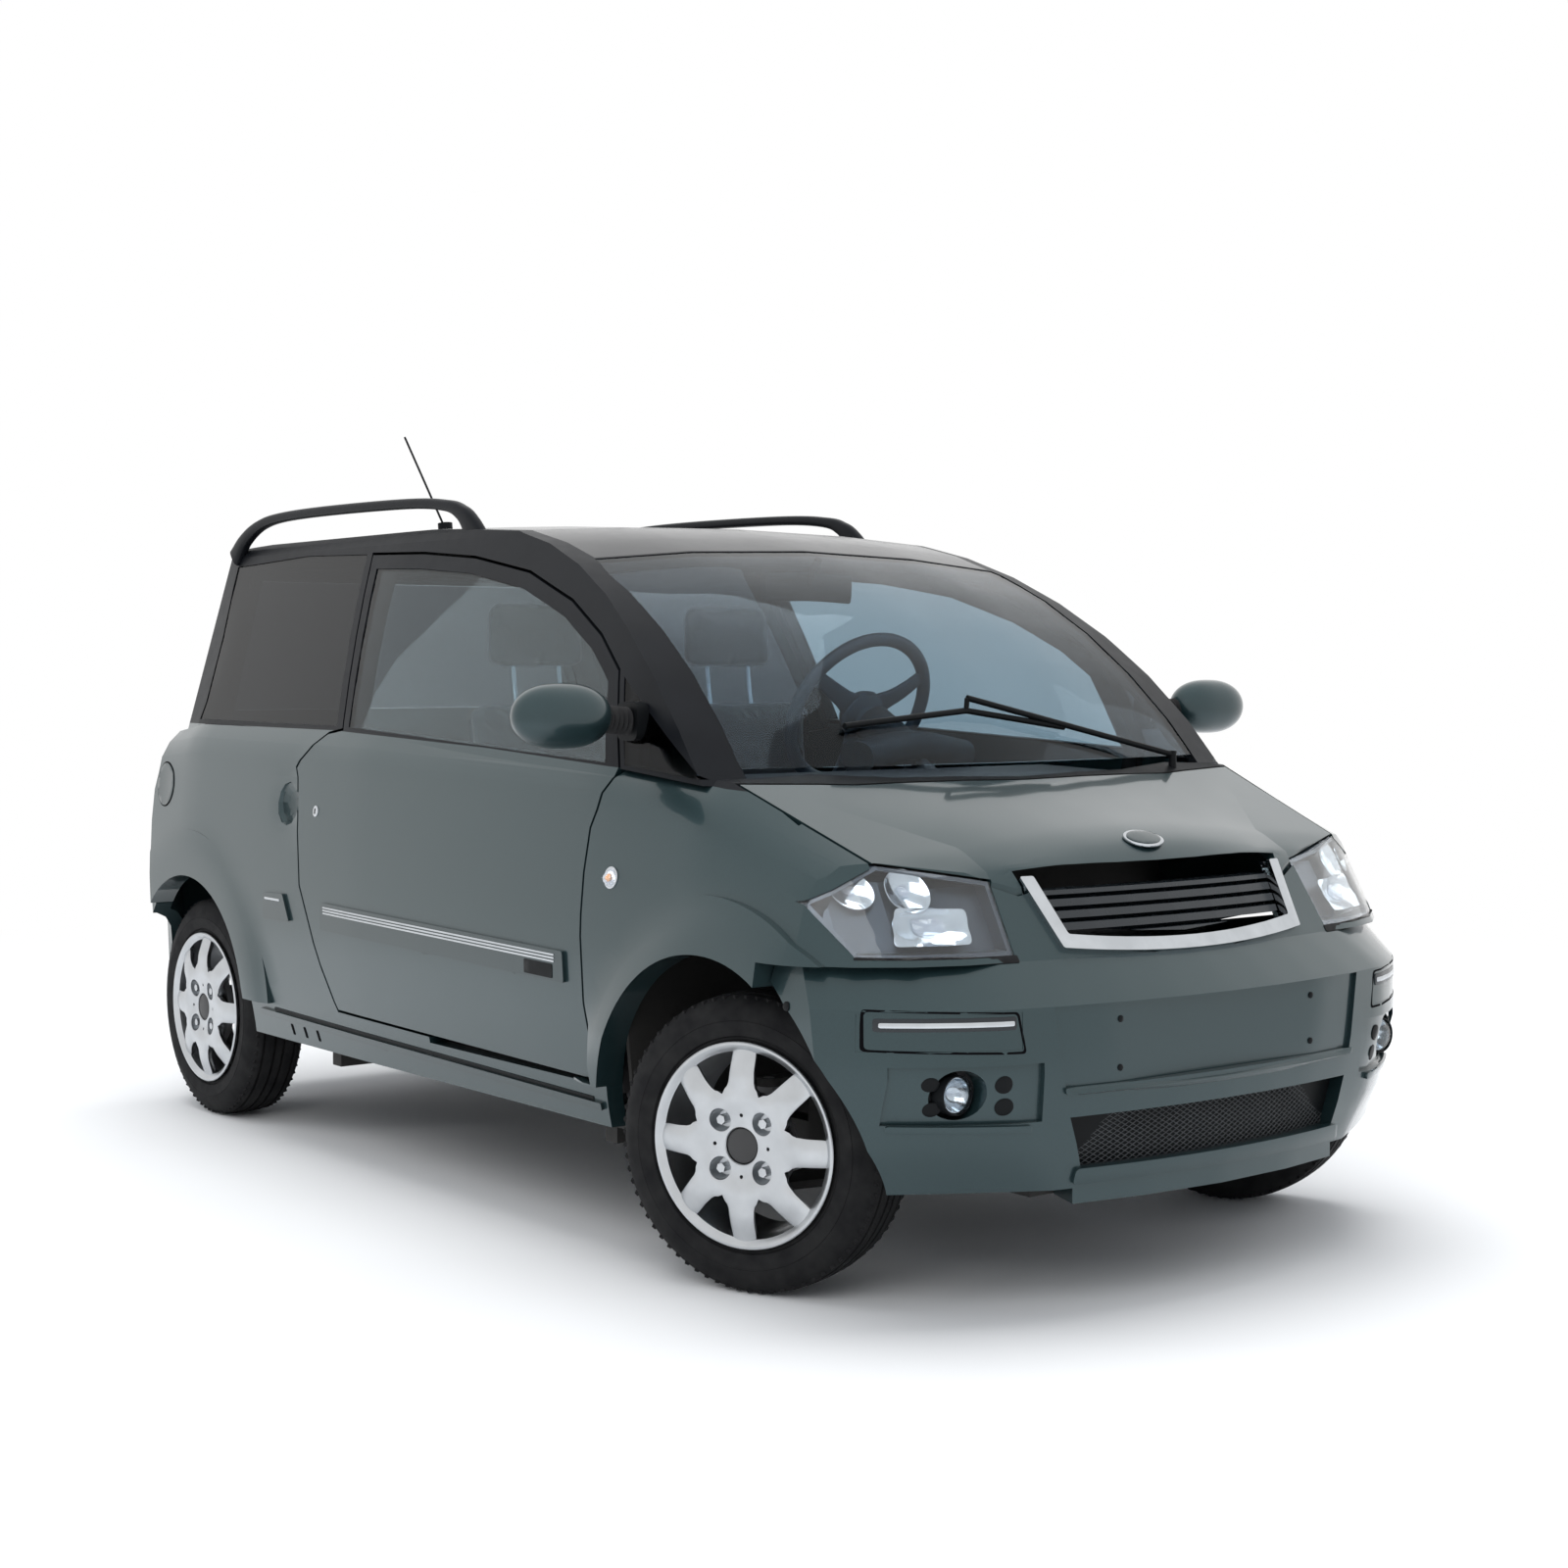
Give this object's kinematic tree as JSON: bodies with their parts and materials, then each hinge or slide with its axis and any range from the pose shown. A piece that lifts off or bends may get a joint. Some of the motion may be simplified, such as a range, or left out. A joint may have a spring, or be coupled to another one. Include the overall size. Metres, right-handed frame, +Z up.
{
  "type": "two-seat microcar",
  "caption": "One-box city microcar with hinged doors, bonnet and tailgate, steered front wheels, glazed cabin, roof rails and bumpers",
  "frame": {"origin": "on the ground, under the middle of the car's box", "axes": "+X forward, +Y to the car's left, +Z up"},
  "size_m": [3.06, 1.881, 1.6467],
  "materials": {
    "body_paint": "metallic gloss",
    "black_gloss": "gloss",
    "black_satin": "satin",
    "bumper_plastic": "satin",
    "glass_clear": "polished",
    "glass_dark": "polished",
    "lens_clear": "polished",
    "lens_red": "gloss",
    "chrome_trim": "polished",
    "alloy": "satin",
    "tyre": "matte",
    "steel": "satin",
    "steel_black": "satin",
    "engine_cast": "rough",
    "seat_fabric": "woven",
    "cabin_plastic": "grained",
    "mirror_face": "polished",
    "lamp_inside": "polished"
  },
  "bodies": {
    "body": {"opening_frames": "black_satin", "quarter_panels": "body_paint", "wings": "body_paint", "nose_panel": "body_paint", "sills": "body_paint", "rear_bumper": "body_paint", "scuttle": "black_satin", "pillars": "black_satin", "roof_panel": "black_gloss", "windscreen": "glass_clear", "fixed_side_glass": "glass_dark", "headlamp_lenses": "lens_clear", "headlamps": "lamp_inside", "tail_lamps": "lens_red", "grille_frame": "chrome_trim", "grille": "black_gloss", "front_bumper": "body_paint", "lower_grille": "bumper_plastic", "bumper_inserts": "body_paint", "fog_lamps": "lens_clear", "roof_rails": "black_satin", "aerial": "black_satin", "mirrors": "body_paint", "mirror_glasses": "mirror_face", "wiper": "black_satin", "chassis_frame": "steel_black", "floor_pan": "steel_black", "engine_block": "engine_cast", "exhaust": "steel", "front_suspension": "steel_black", "rear_axle": "steel_black", "seats": "seat_fabric", "dashboard": "cabin_plastic"},
    "door_r": {"door_right": "body_paint", "door_glass_right": "glass_clear"},
    "door_l": {"door_left": "body_paint", "door_glass_left": "glass_clear"},
    "bonnet_lid": {"bonnet": "body_paint"},
    "tailgate_lid": {"tailgate": "body_paint", "tailgate_glass": "glass_dark"},
    "knuckle_r": {"knuckle_right": "steel"},
    "knuckle_l": {"knuckle_left": "steel"},
    "wheel_fr": {"tyre_front_right": "tyre", "rim_front_right": "alloy"},
    "wheel_fl": {"tyre_front_left": "tyre", "rim_front_left": "alloy"},
    "wheel_rr": {"tyre_rear_right": "tyre", "rim_rear_right": "alloy"},
    "wheel_rl": {"tyre_rear_left": "tyre", "rim_rear_left": "alloy"},
    "steering": {"steering_wheel": "cabin_plastic"}
  },
  "joints": [
    {"name": "steering_turn", "type": "hinge", "parent": "body", "child": "steering", "pos_m": [0.205, 0.245, 1], "axis": [-0.8829, 0, 0.4695], "range_deg": [-896, 192]},
    {"name": "steer_right", "type": "hinge", "parent": "body", "child": "knuckle_r", "pos_m": [0.989, -0.6, 0.265], "axis": [0, 0, 1], "range_deg": [-56, 12]},
    {"name": "steer_left", "type": "hinge", "parent": "body", "child": "knuckle_l", "pos_m": [0.989, 0.6, 0.265], "axis": [0, 0, 1], "range_deg": [-56, 12]},
    {"name": "spin_front_right", "type": "hinge", "parent": "knuckle_r", "child": "wheel_fr", "pos_m": [0.9946, -0.6139, 0.265], "axis": [-0.3746, 0.9272, 0], "continuous": true},
    {"name": "spin_front_left", "type": "hinge", "parent": "knuckle_l", "child": "wheel_fl", "pos_m": [0.9834, 0.6139, 0.265], "axis": [-0.3746, 0.9272, 0], "continuous": true},
    {"name": "spin_rear_right", "type": "hinge", "parent": "body", "child": "wheel_rr", "pos_m": [-1.177, -0.615, 0.265], "axis": [0, 1, 0], "continuous": true},
    {"name": "spin_rear_left", "type": "hinge", "parent": "body", "child": "wheel_rl", "pos_m": [-1.177, 0.615, 0.265], "axis": [0, 1, 0], "continuous": true},
    {"name": "door_right_hinge", "type": "hinge", "parent": "body", "child": "door_r", "pos_m": [0.662, -0.75, 0.7], "axis": [0, 0, 1], "range_deg": [0, 65]},
    {"name": "door_left_hinge", "type": "hinge", "parent": "body", "child": "door_l", "pos_m": [0.662, 0.75, 0.7], "axis": [0, 0, -1], "range_deg": [0, 65]},
    {"name": "bonnet_hinge", "type": "hinge", "parent": "body", "child": "bonnet_lid", "pos_m": [0.93, 0, 0.905], "axis": [0, -1, 0], "range_deg": [0, 55]},
    {"name": "tailgate_hinge", "type": "hinge", "parent": "body", "child": "tailgate_lid", "pos_m": [-1.506, 0, 1.37], "axis": [0, 1, 0], "range_deg": [0, 80]}
  ],
  "couplings": [
    {"joint": "steer_right", "follows": "steering_turn", "ratio": 0.0625},
    {"joint": "steer_left", "follows": "steering_turn", "ratio": 0.0625}
  ]
}
